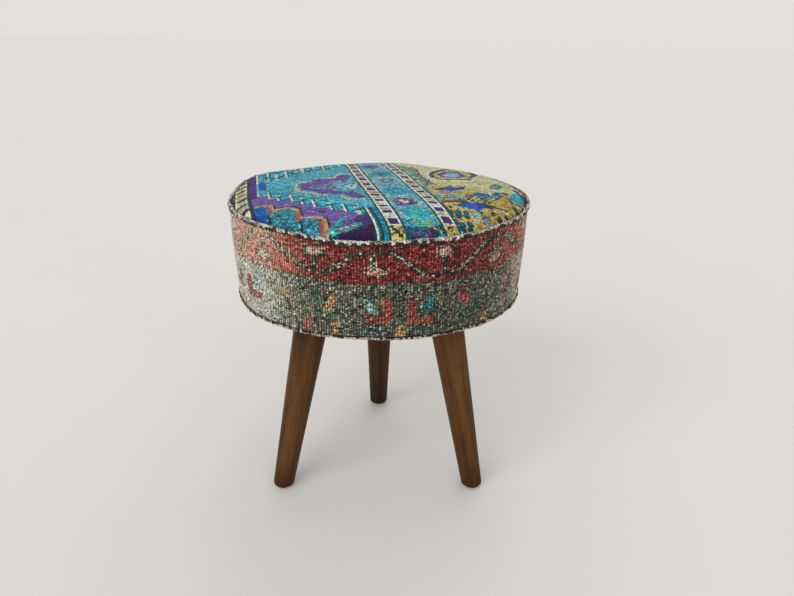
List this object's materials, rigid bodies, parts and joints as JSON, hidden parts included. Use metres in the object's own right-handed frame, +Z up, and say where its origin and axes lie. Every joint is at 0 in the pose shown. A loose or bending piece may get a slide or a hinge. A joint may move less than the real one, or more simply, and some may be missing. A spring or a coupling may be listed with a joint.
{
  "type": "upholstered round stool",
  "caption": "Round stool: a carpet-covered, crowned drum seat with overcast edges on splayed, tapered wooden legs that screw out of angled leg plates.",
  "frame": {"origin": "on the floor, under the centre of the seat", "axes": "+Z up through the seat's centre, +Y towards the single rear leg, -Y the side that the picture shows, +X to its right"},
  "size_m": [0.3999, 0.4, 0.436],
  "materials": {
    "top_carpet_pile": "matte",
    "side_carpet_pile": "matte",
    "edge_cord_yarn": "matte",
    "hem_canvas": "matte",
    "black_cambric": "matte",
    "seat_foam": "matte",
    "padding_felt": "matte",
    "foot_felt": "matte",
    "plywood": "matte",
    "pine": "matte",
    "hardboard": "satin",
    "walnut_stained_wood": "satin",
    "plate_steel": "satin",
    "zinc_steel": "satin",
    "bright_steel": "satin"
  },
  "bodies": {
    "seat": {"bottom_board": "plywood", "top_board": "plywood", "side_hoop": "hardboard", "hoop_nails": "bright_steel", "top_post_screws": "zinc_steel", "bottom_post_screws": "zinc_steel", "side_padding": "padding_felt", "seat_foam": "seat_foam", "side_carpet": "side_carpet_pile", "top_carpet": "top_carpet_pile", "top_edge_cord": "edge_cord_yarn", "bottom_edge_cord": "edge_cord_yarn", "hem_strip": "hem_canvas", "hem_staples": "bright_steel", "dust_cover": "black_cambric", "cover_staples": "bright_steel", "post_1": "pine", "post_2": "pine", "post_3": "pine", "post_4": "pine", "post_5": "pine", "post_6": "pine", "front_left_plate": "plate_steel", "front_left_plate_screws": "zinc_steel", "front_right_plate": "plate_steel", "front_right_plate_screws": "zinc_steel", "rear_plate": "plate_steel", "rear_plate_screws": "zinc_steel"},
    "front_left_bolt": {"front_left_bolt": "zinc_steel"},
    "front_left_leg": {"front_left_leg": "walnut_stained_wood", "front_left_pad": "foot_felt"},
    "front_right_bolt": {"front_right_bolt": "zinc_steel"},
    "front_right_leg": {"front_right_leg": "walnut_stained_wood", "front_right_pad": "foot_felt"},
    "rear_bolt": {"rear_bolt": "zinc_steel"},
    "rear_leg": {"rear_leg": "walnut_stained_wood", "rear_pad": "foot_felt"}
  },
  "joints": [
    {"name": "front_left_travel", "type": "slide", "parent": "seat", "child": "front_left_bolt", "axis": [-0.1801, -0.104, -0.9781], "range_m": [0, 0.02]},
    {"name": "front_left_turn", "type": "hinge", "parent": "front_left_bolt", "child": "front_left_leg", "pos_m": [-0.08486, -0.04899, 0.29], "axis": [-0.1801, -0.104, -0.9781], "range_deg": [0, 5760]},
    {"name": "front_right_travel", "type": "slide", "parent": "seat", "child": "front_right_bolt", "axis": [0.1801, -0.104, -0.9781], "range_m": [0, 0.02]},
    {"name": "front_right_turn", "type": "hinge", "parent": "front_right_bolt", "child": "front_right_leg", "pos_m": [0.08486, -0.04899, 0.29], "axis": [0.1801, -0.104, -0.9781], "range_deg": [0, 5760]},
    {"name": "rear_travel", "type": "slide", "parent": "seat", "child": "rear_bolt", "axis": [0, 0.2079, -0.9781], "range_m": [0, 0.02]},
    {"name": "rear_turn", "type": "hinge", "parent": "rear_bolt", "child": "rear_leg", "pos_m": [0, 0.09799, 0.29], "axis": [0, 0.2079, -0.9781], "range_deg": [0, 5760]}
  ],
  "couplings": [
    {"joint": "front_left_turn", "follows": "front_left_travel", "rad_per_m": 5026.5},
    {"joint": "front_right_turn", "follows": "front_right_travel", "rad_per_m": 5026.5},
    {"joint": "rear_turn", "follows": "rear_travel", "rad_per_m": 5026.5}
  ]
}
